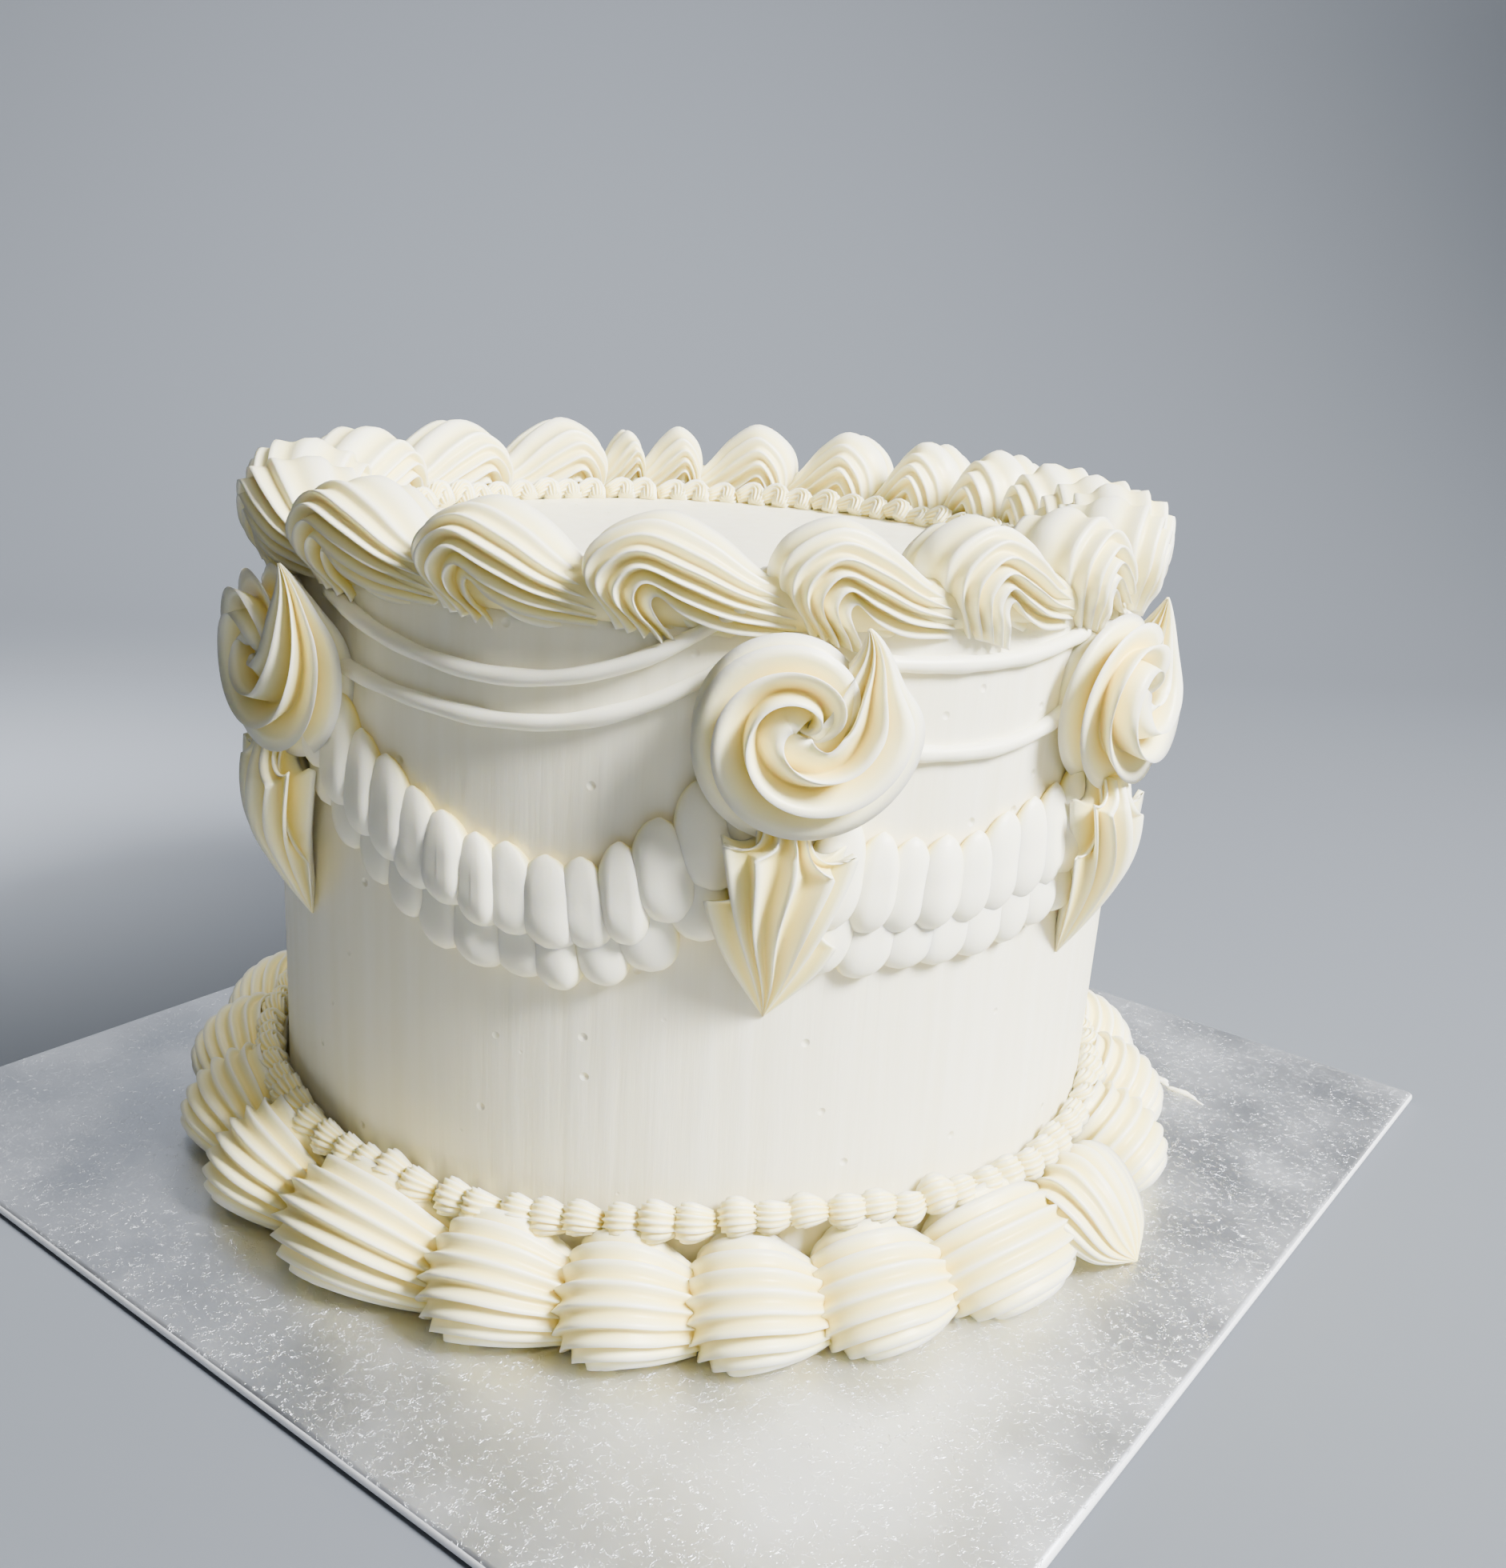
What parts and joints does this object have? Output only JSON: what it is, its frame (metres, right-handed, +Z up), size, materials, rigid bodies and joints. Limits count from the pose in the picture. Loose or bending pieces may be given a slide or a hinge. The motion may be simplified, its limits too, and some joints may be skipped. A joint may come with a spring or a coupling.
{
  "type": "piped wedding cake",
  "caption": "Tall round one-tier cake on its square foil board, iced smooth, with piped shell borders, string lines, ruffled swags, rosettes and drops.",
  "frame": {"origin": "middle of the square board's underside", "axes": "+Z up; X and Y along the board's edges; the cake's front, which faces a board corner, points 38.8 degrees from -Y towards +X"},
  "size_m": [0.305, 0.305, 0.1774],
  "materials": {
    "board_foil": "embossed foil over card, semi-gloss",
    "icing_smooth": "smooth ivory buttercream, satin",
    "icing_piped": "piped ivory buttercream, satin"
  },
  "bodies": {
    "root": {"board": "board_foil", "cake": "icing_smooth", "drop_1": "icing_piped", "drop_2": "icing_piped", "drop_3": "icing_piped", "drop_4": "icing_piped", "drop_5": "icing_piped", "drop_6": "icing_piped", "foot_shell_01": "icing_piped", "foot_shell_02": "icing_piped", "foot_shell_03": "icing_piped", "foot_shell_04": "icing_piped", "foot_shell_05": "icing_piped", "foot_shell_06": "icing_piped", "foot_shell_07": "icing_piped", "foot_shell_08": "icing_piped", "foot_shell_09": "icing_piped", "foot_shell_10": "icing_piped", "foot_shell_11": "icing_piped", "foot_shell_12": "icing_piped", "foot_shell_13": "icing_piped", "foot_shell_14": "icing_piped", "foot_shell_15": "icing_piped", "foot_shell_16": "icing_piped", "foot_shell_17": "icing_piped", "foot_shell_18": "icing_piped", "foot_shell_19": "icing_piped", "foot_shell_20": "icing_piped", "foot_shell_21": "icing_piped", "foot_shell_22": "icing_piped", "foot_shell_23": "icing_piped", "foot_shell_24": "icing_piped", "rim_shell_01": "icing_piped", "rim_shell_02": "icing_piped", "rim_shell_03": "icing_piped", "rim_shell_04": "icing_piped", "rim_shell_05": "icing_piped", "rim_shell_06": "icing_piped", "rim_shell_07": "icing_piped", "rim_shell_08": "icing_piped", "rim_shell_09": "icing_piped", "rim_shell_10": "icing_piped", "rim_shell_11": "icing_piped", "rim_shell_12": "icing_piped", "rim_shell_13": "icing_piped", "rim_shell_14": "icing_piped", "rim_shell_15": "icing_piped", "rim_shell_16": "icing_piped", "rim_shell_17": "icing_piped", "rim_shell_18": "icing_piped", "rim_shell_19": "icing_piped", "rim_shell_20": "icing_piped", "rim_shell_21": "icing_piped", "rosette_1": "icing_piped", "rosette_2": "icing_piped", "rosette_3": "icing_piped", "rosette_4": "icing_piped", "rosette_5": "icing_piped", "rosette_6": "icing_piped", "swag_garland": "icing_piped"}
  },
  "joints": []
}
